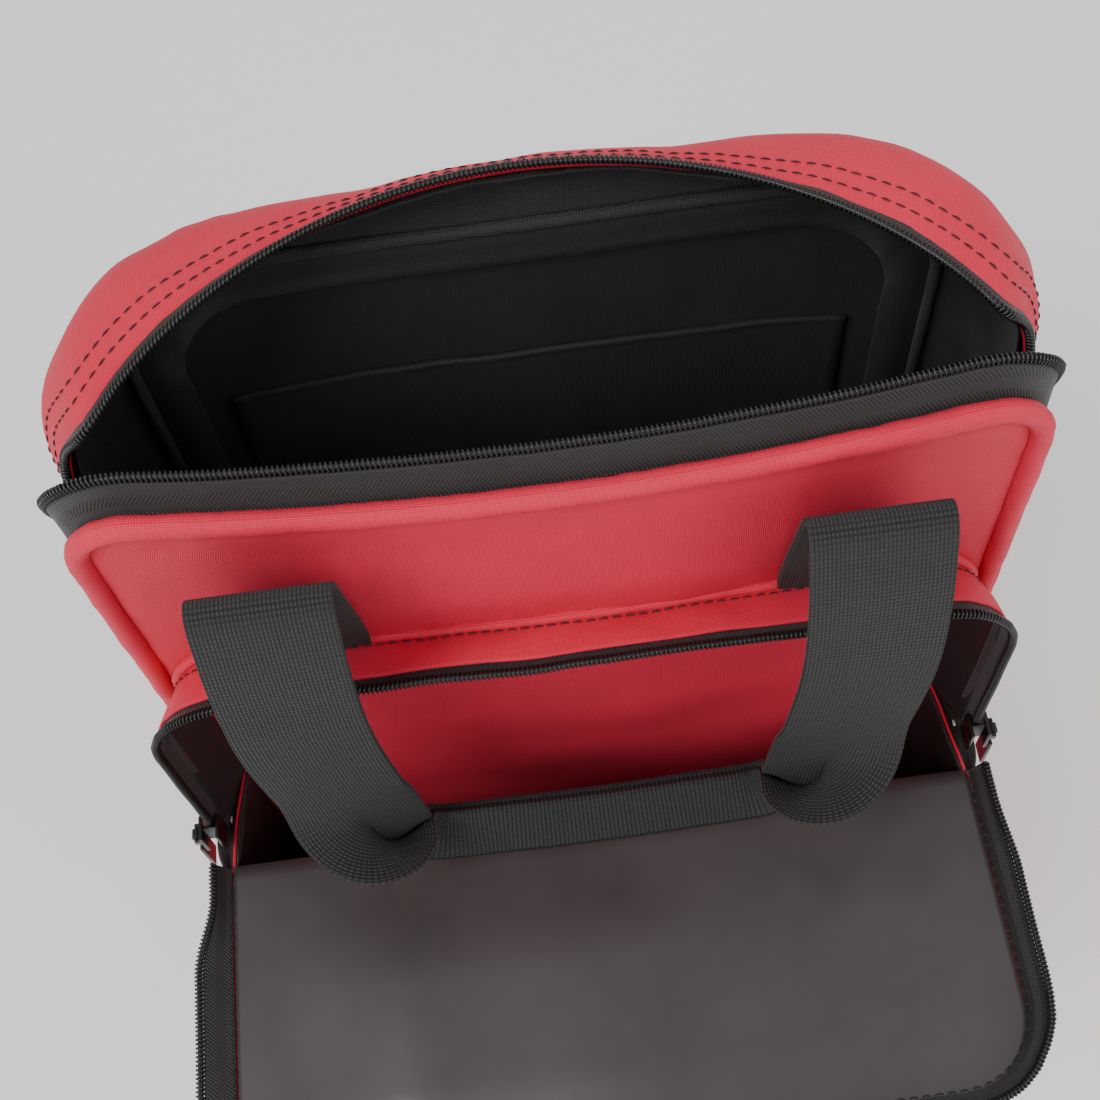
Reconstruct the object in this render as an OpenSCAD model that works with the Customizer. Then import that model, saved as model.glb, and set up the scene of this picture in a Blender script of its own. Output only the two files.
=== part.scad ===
// Soft stick bag: an open main compartment with a zip arch over its mouth, a zipped front pocket whose
// flap folds open at the front, and two webbing carry handles. Millimetres, X to the right, the front
// faces -Y, Z up, origin in the flat face that the bag stands on.

/* [Bag] */
// Width of the front panel, from piping to piping
panel_width = 260; // [230:5:300]
// Height of the front panel's rim
rim_height = 430; // [420:1:440]
// How far the front panel lies in front of the origin
front_depth = 46; // [40:1:50]
// How far the back panel lies behind the origin
back_depth = 54; // [50:1:60]
// How far the front panel bulges forward in its middle
front_bulge = 6; // [0:1:8]
// How far the front rim sags in its middle
rim_sag = 7; // [0:1:10]
// Radius of the front and back panels' piping
piping_r = 4; // [3:0.5:4]
// Thickness of the coated woven fabric with its backing
fabric_t = 1.6; // [1:0.2:1.6]
// Thickness of the foam padding
foam_t = 3; // [2:0.5:3]
// Thickness of the lining fabric
lining_t = 0.6; // [0.4:0.1:0.6]

/* [Main zip] */
// Visible width of one half of the zip's tape
tape_w = 9.6; // [8:0.2:9.6]
// Thickness of a zip's tape
tape_t = 0.8; // [0.6:0.1:0.8]
// Radius of the main zip's coil
coil_r = 1.5; // [1.2:0.1:1.5]
// Height of the main sliders, where the mouth starts to open
mouth_start = 384; // [380:1:388]
// How far the opened arch of the mouth stands back from its corners
arch_depth = 84; // [80:1:90]

/* [Front pocket] */
// Half width of the pocket at its seam
pocket_half = 121.5; // [110:0.5:121.5]
// Height of the pocket's top seam
pocket_top = 350; // [330:1:352]
// Height of the pocket's floor
pocket_floor = 14; // [12:1:20]
// Height of the flap's fold
fold_height = 250; // [200:1:255]
// How far the pocket's front wall lies in front of the origin
pocket_depth = 84; // [82:1:90]
// How far the pocket's own zip coil lies in front of the origin
pocket_zip_depth = 70.6; // [70:0.1:71]

/* [Handles] */
// Width of the handle webbing
webbing_w = 38; // [30:1:40]
// Thickness of the handle webbing
webbing_t = 1.8; // [1.4:0.1:1.8]
// Distance from the bag's middle to the middle of a handle's leg
leg_x = 79.5; // [75:0.5:85]
// Height of the front handle's fold
front_fold_z = 418; // [412:1:424]
// Height of the rear handle's fold
rear_fold_z = 366; // [360:1:380]

/* [Hidden] */
gap = 0.3;
half = panel_width / 2;

// ---- Small helpers -------------------------------------------------------------------------------
function unit(v) = v / norm(v);
function mix(a, b, t) = a + (b - a) * t;
function clamp(v) = min(max(v, 0), 1);
function smooth(v) = clamp(v) * clamp(v) * (3 - 2 * clamp(v));
function steps(n) = [for (i = [0 : n]) i / n];
function reversed(list) = [for (i = [len(list) - 1 : -1 : 0]) list[i]];
function arc(cx, cz, r, a0, a1, n) =
    [for (t = steps(n)) let (a = mix(a0, a1, t)) [cx + r * cos(a), cz + r * sin(a)]];

// A grid of points as a sheet. It lies between lift and lift + t, which may be negative, from the points
// along cross(row step, column step).
module sheet(g, t, lift = 0) {
    rows = len(g);
    cols = len(g[0]);
    n = rows * cols;
    function at(i, j) = g[min(max(i, 0), rows - 1)][min(max(j, 0), cols - 1)];
    function normal(i, j) = unit(cross(at(i + 1, j) - at(i - 1, j), at(i, j + 1) - at(i, j - 1)));
    near = [for (i = [0 : rows - 1]) for (j = [0 : cols - 1]) g[i][j] + lift * normal(i, j)];
    far = [for (i = [0 : rows - 1]) for (j = [0 : cols - 1]) g[i][j] + (lift + t) * normal(i, j)];
    function k(i, j) = i * cols + j;
    far_faces = [for (i = [0 : rows - 2]) for (j = [0 : cols - 2])
        each [[n + k(i, j), n + k(i, j + 1), n + k(i + 1, j + 1)],
            [n + k(i, j), n + k(i + 1, j + 1), n + k(i + 1, j)]]];
    near_faces = [for (i = [0 : rows - 2]) for (j = [0 : cols - 2])
        each [[k(i, j), k(i + 1, j + 1), k(i, j + 1)], [k(i, j), k(i + 1, j), k(i + 1, j + 1)]]];
    rim = concat(
        [for (i = [rows - 1 : -1 : 1]) k(i, 0)],
        [for (j = [0 : cols - 2]) k(0, j)],
        [for (i = [0 : rows - 2]) k(i, cols - 1)],
        [for (j = [cols - 1 : -1 : 1]) k(rows - 1, j)]);
    rim_faces = [for (m = [0 : len(rim) - 1]) let (a = rim[m], b = rim[(m + 1) % len(rim)])
        each [[n + b, n + a, a], [n + b, a, b]]];
    faces = concat(far_faces, near_faces, rim_faces);
    polyhedron(concat(near, far), t > 0 ? faces : [for (f = faces) reversed(f)]);
}

// A round tube along a path, or round a closed one. No part of the path may run along ref.
module tube(path, r, sides = 8, ref = [0, 1, 0], ring = false) {
    m = len(path);
    function run(i) = ring ? unit(path[(i + 1) % m] - path[(i + m - 1) % m])
        : unit(path[min(i + 1, m - 1)] - path[max(i - 1, 0)]);
    function across(i) = unit(cross(run(i), ref));
    points = [for (i = [0 : m - 1]) let (u = across(i), v = cross(run(i), u))
        for (s = [0 : sides - 1]) path[i] + r * (cos(360 * s / sides) * u + sin(360 * s / sides) * v)];
    walls = [for (i = [0 : m - (ring ? 1 : 2)]) for (s = [0 : sides - 1])
        let (a = i * sides + s, b = i * sides + (s + 1) % sides, next = ((i + 1) % m - i) * sides)
        each [[a, b + next, b], [a, a + next, b + next]]];
    ends = [[for (s = [0 : sides - 1]) s], [for (s = [sides - 1 : -1 : 0]) (m - 1) * sides + s]];
    polyhedron(points, ring ? walls : concat(ends, walls));
}

// ---- The body's surfaces -------------------------------------------------------------------------
function bow(x) = 1 - pow(x / half, 2);
function front_y(x, z) = -front_depth - front_bulge * bow(x) * sin(90 * clamp(z / 200));
function sag(x, z) = rim_sag * bow(x) * smooth((z - 300) / (rim_height - 300));
function front_point(p, dy = 0) = [p[0], front_y(p[0], p[1]) + dy, p[1] - sag(p[0], p[1])];
back_corner_x = half - 3.3;
function back_y(x) = back_depth - 13.3 * pow(x / back_corner_x, 4);
back_top = rim_height - 8;
side_bow = 4.4;
zip_x = half + 2;
corner_r = 35;
corner_y = 16;
function side_x(y) = y < corner_y ? half + 2.6 + side_bow * sin(90 * (y + 46) / (46 + corner_y))
    : half + 2.6 + side_bow - corner_r + sqrt(corner_r * corner_r - pow(y - corner_y, 2));

// A rounded rectangle in the XZ plane, open at the bottom, from its left foot over the top to its right foot.
function arch_path(w, foot, top, r, n = 8, levels = [0, 0.25, 0.5, 0.75]) = concat(
    [for (t = levels) [-w, mix(foot, top - r, t)]],
    arc(-w + r, top - r, r, 180, 90, 5),
    [for (t = steps(n)) if (t > 0 && t < 1) [mix(-w + r, w - r, t), top]],
    arc(w - r, top - r, r, 90, 0, 5),
    [for (t = reversed(levels)) [w, mix(foot, top - r, t)]]);
// The same, closed round the bottom, and without a double point.
function loop_path(w, foot, top, r, foot_r) = concat(
    arch_path(w, foot + foot_r, top, r),
    [for (p = arc(w - foot_r, foot + foot_r, foot_r, 0, -90, 4)) if (p[1] < foot + foot_r) p],
    [for (t = steps(6)) if (t > 0 && t < 1) [mix(w - foot_r, -w + foot_r, t), foot]],
    [for (p = arc(-w + foot_r, foot + foot_r, foot_r, 270, 180, 4)) if (p[1] < foot + foot_r) p]);

// ---- Front and back panels -----------------------------------------------------------------------
front_r = 20;
foot_r = 10;
foot_z = 6.2;
panel_inset = piping_r + gap;
rim_z = rim_height - piping_r;

// A panel's sheet between a left and a right edge that follow its rounded outline.
function inside_x(z, w, foot, top, r, fr) =
    z > top - r ? w - r + sqrt(max(r * r - pow(z - top + r, 2), 0))
    : z < foot + fr ? w - fr + sqrt(max(fr * fr - pow(foot + fr - z, 2), 0)) : w;
function heights(foot, top) =
    [for (h = [0, 0.02, 0.1, 0.3, 0.5, 0.7, 0.85, 0.93, 0.96, 0.985, 1]) mix(foot, top, h)];
front_w = half - panel_inset;
front_foot = foot_z + panel_inset;
front_top = rim_z - panel_inset;
function front_grid(dy, trim = 0) = [for (z = heights(front_foot + trim, front_top - trim))
    let (x = inside_x(z, front_w - trim, front_foot + trim, front_top - trim,
        front_r - panel_inset, foot_r - panel_inset))
    [for (t = steps(10)) front_point([mix(-x, x, t), z], dy)]];
back_w = back_corner_x - panel_inset;
back_foot = foot_z + panel_inset;
back_high = back_top - panel_inset;
function back_grid(dy, trim = 0) = [for (z = heights(back_foot + trim, back_high - trim))
    let (x = inside_x(z, back_w - trim, back_foot + trim, back_high - trim, 36 - trim, 6))
    [for (t = steps(12)) let (px = mix(-x, x, t)) [px, back_y(px) + dy, z]]];

module front_panel() {
    color("firebrick") sheet(front_grid(0), fabric_t);
}
module front_padding() {
    color("gainsboro") sheet(front_grid(0, 3), foam_t, fabric_t + gap);
}
module front_piping() {
    path = [for (p = loop_path(half, foot_z, rim_z, front_r, foot_r)) front_point(p)];
    color("crimson") tube(path, piping_r, 10, ring = true);
}
module back_panel() {
    color("firebrick") sheet(back_grid(0), -fabric_t);
}
module back_padding() {
    color("gainsboro") sheet(back_grid(0, 3), -foam_t, -fabric_t - gap);
}
module back_piping() {
    path = [for (p = loop_path(back_corner_x, foot_z, back_top, rim_r, foot_r)) [p[0], back_y(p[0]), p[1]]];
    color("crimson") tube(path, piping_r, 10, ring = true);
}

// ---- Main zip ------------------------------------------------------------------------------------
zip_foot = 80;
tape_y = 4.3;
coil_reach = tape_w + coil_r + 0.3;
coil_pair_gap = 1.6;
front_coil_y = -front_depth + tape_y + coil_reach;
zip_mid_y = front_coil_y + coil_r + coil_pair_gap / 2;
back_coil_y = zip_mid_y + coil_r + coil_pair_gap / 2;

// The front half leans from straight back, on the sides, to up and back along the rim.
zip_corner_z = rim_height - 4 - front_r;
front_zip_path = arch_path(half + 1.6, zip_foot, rim_height - 2.4, front_r + 1.6, 8,
    [for (z = [zip_foot, 160, 240, 320, mouth_start, mouth_start + 7, mouth_start + 14])
        (z - zip_foot) / (zip_corner_z - zip_foot)]);
function lean(p) =
    let (tip = 45 * smooth((p[1] - mouth_start) / 36),
         out = p[1] > zip_corner_z
             ? unit([p[0] - sign(p[0]) * min(abs(p[0]), half - front_r), 0, p[1] - zip_corner_z])
             : [sign(p[0]), 0, 0])
    [0, cos(tip), 0] + sin(tip) * out;
function front_zip(reach) = [for (p = front_zip_path)
    front_point(p, tape_y) + reach * lean(p)];

// The back half lies beside it on the sides and stands away over the mouth as an arch.
arch_w = half - 2;
arch_rise = 13;
arch_power = 1.3;
function arch_point(t) =
    [arch_w * cos(t), -front_depth + 1 + arch_depth * pow(sin(t), arch_power), rim_height + arch_rise * sin(t)];
back_coil_right = concat(
    [for (z = [80, 150, 220, 300, mouth_start]) [zip_x - 0.4, back_coil_y, z]],
    [[zip_x + 1.2, back_coil_y + 2, mouth_start + 16], [zip_x - 1, back_coil_y + 6, mouth_start + 34]],
    [for (t = [20 : 10 : 90]) arch_point(t)]);
back_coil = concat(back_coil_right, [for (i = [len(back_coil_right) - 2 : -1 : 0])
    [-back_coil_right[i][0], back_coil_right[i][1], back_coil_right[i][2]]]);

// The opened mouth's stations: from the coil's path down to the back panel's piping.
mouth_first = 4;
mouth_n = len(back_coil_right) - mouth_first - 1;
rim_start = mouth_start - 34;
rim_r = 40;
rim_line = [back_top - rim_r - rim_start, rim_r * PI / 2, back_corner_x - rim_r];
function rim_at(d) =
    d < rim_line[0] ? [back_corner_x, rim_start + d]
    : d < rim_line[0] + rim_line[1]
        ? let (a = (d - rim_line[0]) / rim_r * 180 / PI)
            [back_corner_x - rim_r + rim_r * cos(a), back_top - rim_r + rim_r * sin(a)]
    : [back_corner_x - rim_r - (d - rim_line[0] - rim_line[1]), back_top];
function rim_point(s) =
    let (p = rim_at(s * (rim_line[0] + rim_line[1] + rim_line[2]))) [p[0], back_y(p[0]), p[1]];
function station(i) =
    let (k = min(i, 2 * mouth_n - i), c = back_coil_right[mouth_first + k], r = rim_point(k / mouth_n))
    i > mouth_n ? [[-c[0], c[1], c[2]], [-r[0], r[1], r[2]]] : [c, r];
function mouth_point(i, reach, v) =
    let (s = station(i), d = unit(s[1] - s[0]), a = s[0] + reach * d, b = s[1] - (piping_r + 1.1) * d,
         side = s[0][0] / zip_x, out = unit([side, 0.3 * (1 - abs(side)), 0.7 * (1 - abs(side))]))
    mix(a, b, v) + 6.5 * sin(180 * v) * out;

module main_zip_tape_front() {
    inner = front_zip(0);
    outer = front_zip(tape_w);
    color("black") sheet([for (i = [0 : len(inner) - 1]) [inner[i], outer[i]]], tape_t);
}
module main_zip_coil_front() {
    color("black") tube(front_zip(coil_reach), coil_r, 6, [0.3, 1, 0]);
}
module main_zip_tape_back() {
    over = [for (i = [0 : 2 * mouth_n]) [for (v = [0, 0.12]) mouth_point(i, coil_r + 1, v)]];
    color("black") {
        for (s = [-1, 1])
            translate([s * (zip_x - 1.4) - tape_t / 2, back_coil_y + coil_r + gap, zip_foot])
                cube([tape_t, tape_w, mouth_start - zip_foot - 6]);
        sheet(over, tape_t, gap);
    }
}
module main_zip_coil_back() {
    color("black") tube(back_coil, coil_r, 6, [1, -1, 1]);
}
module main_zip_stops() {
    color("dimgray") for (s = [-1, 1])
        translate([s * (zip_x - 0.4) - 1.5, zip_mid_y - 3, zip_foot - 4]) cube([3, 6, 3]);
}

// ---- Gussets and base ----------------------------------------------------------------------------
gusset_front_y = back_coil_y + coil_r + 2;
gusset_back_y = 36.6;
base_t = 1.6;
wall_foot = base_t + gap;
module side_gusset(s) {
    ys = [for (t = steps(7)) mix(gusset_front_y, gusset_back_y, t)];
    wall = [for (h = steps(8)) [for (j = [0 : 7])
        [s * side_x(ys[j]), ys[j], mix(wall_foot, mix(mouth_start, rim_start, j / 7) - 2.6, h)]]];
    low_ys = [-front_depth + 4.6, gusset_front_y - gap];
    low = [for (h = steps(3)) [for (y = low_ys) [s * side_x(y), y, mix(wall_foot, zip_foot - 5, h)]]];
    color("firebrick") {
        sheet(wall, s * fabric_t);
        sheet(low, s * fabric_t);
    }
}
module side_gusset_left() {
    side_gusset(-1);
}
module side_gusset_right() {
    side_gusset(1);
}
module top_gusset() {
    g = [for (i = [0 : 2 * mouth_n]) [for (v = steps(4)) mouth_point(i, coil_r + 1, v)]];
    color("firebrick") sheet(g, -fabric_t);
}
function plan(inset, front) = concat(
    [for (y = [front, -20, 0, corner_y]) [side_x(y) - inset, y]],
    [for (a = [15 : 15 : 90]) let (r = corner_r - inset)
        [half + 2.6 + side_bow - corner_r + r * cos(a), corner_y + r * sin(a)]]);
function plan_ring(inset, front) =
    let (p = plan(inset, front)) concat(p, [for (i = [len(p) - 1 : -1 : 0]) [-p[i][0], p[i][1]]]);
module bottom_panel() {
    color("firebrick") linear_extrude(base_t) polygon(plan_ring(1, -front_depth + 2.2));
}
module base_padding() {
    color("gainsboro") translate([0, 0, base_t + gap]) linear_extrude(foam_t)
        polygon(plan_ring(9, -front_depth + 9));
}

// ---- Lining --------------------------------------------------------------------------------------
floor_z = base_t + 2 * gap + foam_t;
lining_y = fabric_t + foam_t + 3 * gap;
module front_lining() {
    color("black") sheet(front_grid(0, 8), lining_t, lining_y);
}
module back_lining() {
    turn = [for (i = [0 : 2 * mouth_n]) [for (v = [0.2, 0.4, 0.7, 0.9]) mouth_point(i, coil_r + 1, v)]];
    walls = [for (s = [-1, 1]) [for (z = [floor_z + 2, 120, 240, 340])
        [for (y = [-21, -10, 0, corner_y, 26, 33]) [s * (side_x(y) - 6), y, z]]]];
    color("black") {
        sheet(turn, lining_t, 3.4);
        sheet(walls[0], -lining_t);
        sheet(walls[1], lining_t);
        sheet(back_grid(0, 8), -lining_t, -lining_y);
    }
}
module floor_lining() {
    color("black") translate([0, 0, floor_z]) linear_extrude(lining_t) polygon(plan_ring(9, -front_depth + 9));
}
module inner_pocket() {
    g = [for (z = [150, 220, 290, 350]) [for (t = steps(8)) let (x = mix(-100, 100, t))
        [x, back_y(x), z]]];
    color("black") sheet(g, -lining_t, -lining_y - lining_t - 2);
}

// ---- Front pocket --------------------------------------------------------------------------------
pocket_r = 25;
pocket_zip_half = half + 1.5;
pocket_coil_r = 1.4;
pocket_zip_top = pocket_top + 5;
seam_path = arch_path(pocket_half, fold_height + 1, pocket_top, pocket_r);
mouth_path = arch_path(pocket_zip_half, fold_height + 1, pocket_zip_top, pocket_r + 5);
function seam_point(p) = front_point(p, -gap - 0.1);
function pocket_point(i, v) =
    let (a = seam_point(seam_path[i]), q = mouth_path[i], b = [q[0], -pocket_zip_depth, q[1]])
    mix(a, b, v);
pocket_n = len(seam_path) - 1;
band_end = 1 - (pocket_coil_r + gap + 0.3) / (pocket_zip_depth - front_depth);
tape_start = 0.4;
tape_end = 0.84;
pocket_fabric_t = 1.2;

module pocket_top_gusset() {
    g = [for (i = [0 : pocket_n]) [for (v = [0, 0.33, 0.66, band_end]) pocket_point(i, v)]];
    color("firebrick") sheet(g, pocket_fabric_t);
}
function low_path(w) = concat(
    [[-w, fold_height - 0.6], [-w, 150]],
    arc(-w + 15, pocket_floor + 15, 15, 180, 270, 4),
    [[-60, pocket_floor], [0, pocket_floor], [60, pocket_floor]],
    arc(w - 15, pocket_floor + 15, 15, 270, 360, 4),
    [[w, 150], [w, fold_height - 0.6]]);
pocket_front_half = half - 2;
module pocket_side_gusset() {
    back = low_path(pocket_half);
    front = low_path(pocket_front_half);
    g = [for (i = [0 : len(back) - 1]) [for (v = steps(3))
        mix(seam_point(back[i]), [front[i][0], -pocket_depth + fabric_t + gap, front[i][1]], v)]];
    color("firebrick") sheet(g, -pocket_fabric_t);
}
module pocket_front_wall() {
    color("firebrick") translate([0, -pocket_depth + fabric_t, 0]) rotate([90, 0, 0])
        linear_extrude(fabric_t) polygon(low_path(pocket_front_half));
}
module pocket_welt() {
    path = [for (p = loop_path(pocket_half + 3, pocket_floor - 2.2, pocket_top + 3, pocket_r + 3, 17))
        front_point(p, -1.9)];
    color("crimson") tube(path, 1.6, ring = true);
}
module pocket_zip_tape() {
    g = [for (i = [0 : pocket_n]) [for (v = [tape_start, 0.6, tape_end]) pocket_point(i, v)]];
    color("black") sheet(g, tape_t, pocket_fabric_t + gap);
}
module pocket_zip_coil() {
    color("black") tube([for (i = [0 : pocket_n]) pocket_point(i, 1)], pocket_coil_r, 6);
}
module pocket_zip_stops() {
    color("whitesmoke") for (s = [-1, 1])
        translate([s * (pocket_zip_half - 3) - 1.5, -pocket_zip_depth + 4, fold_height - 7]) cube([3, 5, 5]);
}

// ---- Pocket flap, modelled closed and laid open about its fold -----------------------------------
flap_top = pocket_zip_top - 1;
flap_zip_y = -pocket_depth + 8.6;
module opened() {
    translate([0, -pocket_depth, fold_height]) rotate([90, 0, 0]) translate([0, pocket_depth, -fold_height])
        children();
}
flap_outer = arch_path(pocket_front_half, fold_height + 0.4, flap_top, pocket_r + 1);
flap_mouth = arch_path(pocket_zip_half + 0.5, fold_height + 2, pocket_zip_top, pocket_r + 5);
function flap_point(i, v) =
    mix([flap_outer[i][0], -pocket_depth + fabric_t + gap, flap_outer[i][1]],
        [flap_mouth[i][0], flap_zip_y, flap_mouth[i][1]], v);
function flap_strip(vs, inset = 0) = [for (i = [0 : len(flap_outer) - 1]) [for (v = vs) flap_point(i, v)]];
module flat_flap(path, y, t) {
    opened() translate([0, y + t, 0]) rotate([90, 0, 0]) linear_extrude(t) polygon(path);
}
module pocket_flap() {
    color("firebrick") flat_flap(flap_outer, -pocket_depth, fabric_t);
}
module flap_lining() {
    color("dimgray") flat_flap(arch_path(pocket_front_half - 4, fold_height + 1, flap_top - 4, pocket_r - 3),
        -pocket_depth + fabric_t + gap, lining_t);
}
module flap_rim() {
    color("firebrick") opened() sheet(flap_strip([0, 0.45]), -1);
}
module flap_zip_tape() {
    color("black") opened() sheet(flap_strip([0.49, 0.8]), -tape_t);
}
module flap_zip_coil() {
    color("black") opened() tube([for (i = [0 : len(flap_outer) - 1]) flap_point(i, 1)], pocket_coil_r, 6);
}

// ---- Carry handles -------------------------------------------------------------------------------
turn_r = 3.6;
leg_r = turn_r + webbing_t + 0.4;
front_fold_y = -70.5;
rear_fold_y = 63;
function strip(points, w) = [for (p = points) [for (s = [-1, 1]) [s * w / 2, p[0], p[1]]]];

// A half turn of webbing over the handle's fold.
module half_turn() {
    rotate([90, 0, 90]) translate([0, 0, -webbing_w / 2]) difference() {
        cylinder(r = turn_r + webbing_t, h = webbing_w, $fn = 48);
        translate([0, 0, -1]) cylinder(r = turn_r, h = webbing_w + 2, $fn = 48);
        translate([-20, -40, -1]) cube([40, 40, webbing_w + 2]);
    }
}
module risers(fold_y, fold_z, rise) {
    color("black") for (s = [-1, 1]) translate([s * leg_x, 0, 0]) {
        sheet(strip(rise, webbing_w), webbing_t);
        translate([0, fold_y, fold_z]) half_turn();
    }
}
module legs(drop, t) {
    color("black") for (s = [-1, 1]) translate([s * leg_x, 0, 0]) sheet(strip(drop, webbing_w), t);
}
module grip(y, z, t) {
    length = 2 * leg_x + webbing_w;
    color("black") translate([-length / 2, y - t / 2, z]) cube([length, t, webbing_w / 2 + 1]);
}
front_rise_y = front_fold_y + turn_r;
front_leg_y = front_fold_y - leg_r;
front_grip_z = 255;
front_grip_y = -94;
module front_handle_risers() {
    risers(front_fold_y, front_fold_z,
        [[-52.6, 355.4], [-56.5, 372], [-61.5, 392], [front_rise_y + 0.6, 408], [front_rise_y, front_fold_z - gap]]);
}
module front_handle_strap() {
    legs([[front_leg_y, front_fold_z + 1], [front_leg_y - 5, 402],
        [-88.4, 372], [-91.4, 330], [-92.6, 300], [-93, 276]], webbing_t);
}
module front_handle_grip() {
    grip(front_grip_y, front_grip_z, 4.6);
}
rear_rise_y = rear_fold_y - turn_r - webbing_t;
rear_leg_y = rear_fold_y + leg_r;
rear_grip_z = 156;
module rear_handle_risers() {
    risers(rear_fold_y, rear_fold_z,
        [[back_depth + 2.4, 342], [rear_rise_y - 1.6, 354], [rear_rise_y, rear_fold_z - gap]]);
}
module rear_handle_strap() {
    legs([[rear_leg_y, rear_fold_z + 1], [rear_leg_y, 270],
        [rear_leg_y, rear_grip_z + webbing_w / 2 + 1.4]], -webbing_t);
}
module rear_handle_grip() {
    grip(rear_leg_y + webbing_t / 2, rear_grip_z, 4.6);
}

// ---- Sliders and pulls ---------------------------------------------------------------------------
slider_h = 12;
plate_t = 1.3;
bar_r = 0.7;
bar_out = 1.9;
eye_r = 1.05;
ear_gap = 4.2;
pull_l = 24;
pull_t = 1.4;

// A slider for the right side: two plates with a post between them, and ears that hold the pull's bar.
module slider(x, y, z, w, room) {
    post_t = 0.8;
    outer = x + room + plate_t;
    color("dimgray") translate([0, y, z]) {
        for (px = [x - room - plate_t, x + room])
            translate([px, -w / 2, 0]) cube([plate_t, w, slider_h]);
        translate([x - room, -post_t / 2, 1]) cube([2 * room, post_t, slider_h - 2]);
        for (s = [-1, 1]) translate([outer, s * (ear_gap / 2 + 0.6) - 0.6, slider_h / 2 - 1.4])
            cube([bar_out + bar_r, 1.2, 2.8]);
        translate([outer + bar_out, ear_gap / 2 + 0.6, slider_h / 2]) rotate([90, 0, 0])
            cylinder(r = bar_r, h = ear_gap + 1.2, $fn = 32);
    }
}
module pull(x, y, z, room) {
    out = x + room + plate_t + bar_out;
    eye_w = ear_gap - 0.8;
    color("dimgray") translate([out, y, z + slider_h / 2]) {
        rotate([90, 0, 0]) translate([0, 0, -eye_w / 2]) difference() {
            cylinder(r = eye_r + 0.8, h = eye_w, $fn = 32);
            translate([0, 0, -1]) cylinder(r = eye_r, h = eye_w + 2, $fn = 32);
        }
        translate([-pull_t / 2, -eye_w / 2, -6]) cube([pull_t, eye_w, 6 - eye_r - 0.35]);
        translate([-pull_t / 2, -3.5, -pull_l]) cube([pull_t, 7, pull_l - 6]);
    }
}
main_room = coil_r + 0.5;
main_slider_z = mouth_start - slider_h - 2;
pocket_room = pocket_coil_r + 0.8;
pocket_slider_z = fold_height + 2;
pocket_slider_y = (-pocket_zip_depth + flap_zip_y) / 2;
slider_w = 10.6;
pocket_slider_w = 8.4;
module main_slider_right() {
    slider(zip_x - 0.4, zip_mid_y, main_slider_z, slider_w, main_room);
}
module main_slider_left() {
    mirror([1, 0, 0]) main_slider_right();
}
module main_pull_right() {
    pull(zip_x - 0.4, zip_mid_y, main_slider_z, main_room);
}
module main_pull_left() {
    mirror([1, 0, 0]) main_pull_right();
}
module pocket_slider_right() {
    slider(pocket_zip_half, pocket_slider_y, pocket_slider_z, pocket_slider_w, pocket_room);
}
module pocket_slider_left() {
    mirror([1, 0, 0]) pocket_slider_right();
}
module pocket_pull_right() {
    pull(pocket_zip_half, pocket_slider_y, pocket_slider_z, pocket_room);
}
module pocket_pull_left() {
    mirror([1, 0, 0]) pocket_pull_right();
}

front_panel();
front_padding();
front_piping();
back_panel();
back_padding();
back_piping();
side_gusset_left();
side_gusset_right();
top_gusset();
bottom_panel();
base_padding();
front_lining();
back_lining();
floor_lining();
inner_pocket();
main_zip_tape_front();
main_zip_coil_front();
main_zip_tape_back();
main_zip_coil_back();
main_zip_stops();
pocket_top_gusset();
pocket_side_gusset();
pocket_front_wall();
pocket_welt();
pocket_zip_tape();
pocket_zip_coil();
pocket_zip_stops();
pocket_flap();
flap_lining();
flap_rim();
flap_zip_tape();
flap_zip_coil();
front_handle_risers();
front_handle_strap();
front_handle_grip();
rear_handle_risers();
rear_handle_strap();
rear_handle_grip();
main_slider_left();
main_slider_right();
main_pull_left();
main_pull_right();
pocket_slider_left();
pocket_slider_right();
pocket_pull_left();
pocket_pull_right();
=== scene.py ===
"""The looks of the stick bag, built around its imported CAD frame.

Lengths in the shape functions are millimetres. new_object turns them into metres.
"""

import math

import bmesh
import bpy
import numpy as np
from mathutils import Matrix, Vector, noise


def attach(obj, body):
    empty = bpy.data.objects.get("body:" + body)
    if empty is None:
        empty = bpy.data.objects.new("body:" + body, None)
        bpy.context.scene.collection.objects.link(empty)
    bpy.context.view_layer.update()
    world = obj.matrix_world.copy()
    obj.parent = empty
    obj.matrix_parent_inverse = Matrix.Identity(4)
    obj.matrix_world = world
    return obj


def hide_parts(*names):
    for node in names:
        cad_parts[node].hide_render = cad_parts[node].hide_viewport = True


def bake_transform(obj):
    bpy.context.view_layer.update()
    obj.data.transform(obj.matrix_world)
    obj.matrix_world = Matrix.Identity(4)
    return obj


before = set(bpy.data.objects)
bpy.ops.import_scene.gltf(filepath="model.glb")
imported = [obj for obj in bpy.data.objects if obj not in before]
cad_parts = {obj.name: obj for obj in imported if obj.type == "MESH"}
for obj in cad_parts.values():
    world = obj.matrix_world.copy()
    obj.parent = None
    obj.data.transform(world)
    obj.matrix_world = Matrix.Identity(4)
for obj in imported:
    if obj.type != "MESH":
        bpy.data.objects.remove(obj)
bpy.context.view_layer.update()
MM = 0.001

# ---- Dimensions, the same as in the CAD frame -------------------------------------------------------
# The panels: half widths, depths from the middle, tops, and corner and foot radii
HALF = 130.0
BACK_HALF = 126.7
FRONT = 46.0
BACK = 54.0
BULGE = 6.0
SAG = 7.0
RIM = 430.0
BACK_TOP = 422.0
BACK_SAG = 5.0
FRONT_R = 20.0
BACK_R = 40.0
FOOT_R = 10.0
PANEL_FOOT = 6.2
PIPE = 4.0
PIPE_SEEN = 3.4
# The main zip: its foot, where its mouth starts, and its two coils
ZIP_FOOT = 80.0
MOUTH_Z = 384.0
COIL_X = 131.6
BACK_COIL_Y = -25.7
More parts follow.
